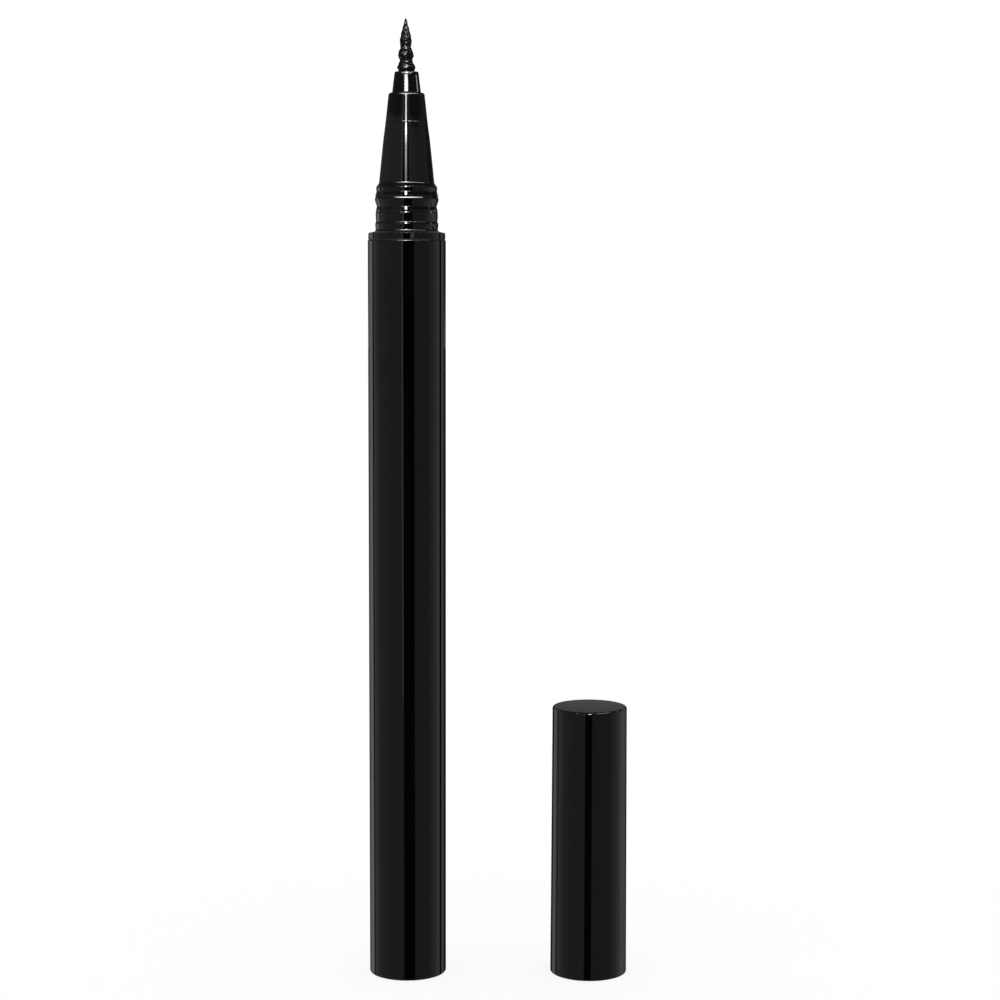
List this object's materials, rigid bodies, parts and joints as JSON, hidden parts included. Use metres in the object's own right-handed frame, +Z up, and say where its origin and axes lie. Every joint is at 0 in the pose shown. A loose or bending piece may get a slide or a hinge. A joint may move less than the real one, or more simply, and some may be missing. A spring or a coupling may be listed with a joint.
{
  "type": "liquid eyeliner pen",
  "caption": "Slim black liquid eyeliner pen standing on its tail, with a ringed tapering neck, a beaded fibre nib and a pull-off cap with a sprung inner cap beside it.",
  "frame": {"origin": "centre of the pen's tail face, which it stands on", "axes": "+Z up the pen's axis to the nib, +X from the pen to the cap that stands beside it"},
  "size_m": [0.0338, 0.01, 0.1241],
  "materials": {
    "gloss_black": "gloss",
    "satin_black": "satin gloss",
    "natural_plastic": "milky, slightly glossy",
    "collector_plastic": "matt",
    "steel": "polished",
    "seal_rubber": "matt",
    "wick_fibre": "inked fibre",
    "sponge": "open foam",
    "inked_fibre": "wet fibre"
  },
  "bodies": {
    "pen": {"barrel": "gloss_black", "tail_plug": "satin_black", "ink_tank": "natural_plastic", "tank_plug": "natural_plastic", "inner_stopper": "natural_plastic", "neck_o_ring": "seal_rubber", "collector": "collector_plastic", "relay_core": "wick_fibre", "overflow_sponge": "sponge", "neck_section": "satin_black", "nib_sleeve": "gloss_black", "nib": "inked_fibre"},
    "mixing_ball": {"mixing_ball": "steel"},
    "cap": {"cap_shell": "gloss_black", "retaining_ring": "natural_plastic", "cap_spring": "steel"},
    "inner_cap": {"inner_cap": "natural_plastic"}
  },
  "joints": [
    {"name": "cap_lift", "type": "slide", "parent": "pen", "child": "cap", "axis": [0, 0, 1], "range_m": [0, 0.13]},
    {"name": "inner_cap_travel", "type": "slide", "parent": "cap", "child": "inner_cap", "axis": [0, 0, 1], "range_m": [0, 0.0015], "stiffness_N_per_m": 300, "springref_m": -0.004, "deforming": ["cap_spring"]},
    {"name": "ball_travel", "type": "slide", "parent": "pen", "child": "mixing_ball", "axis": [0, 0, 1], "range_m": [0, 0.052]}
  ]
}
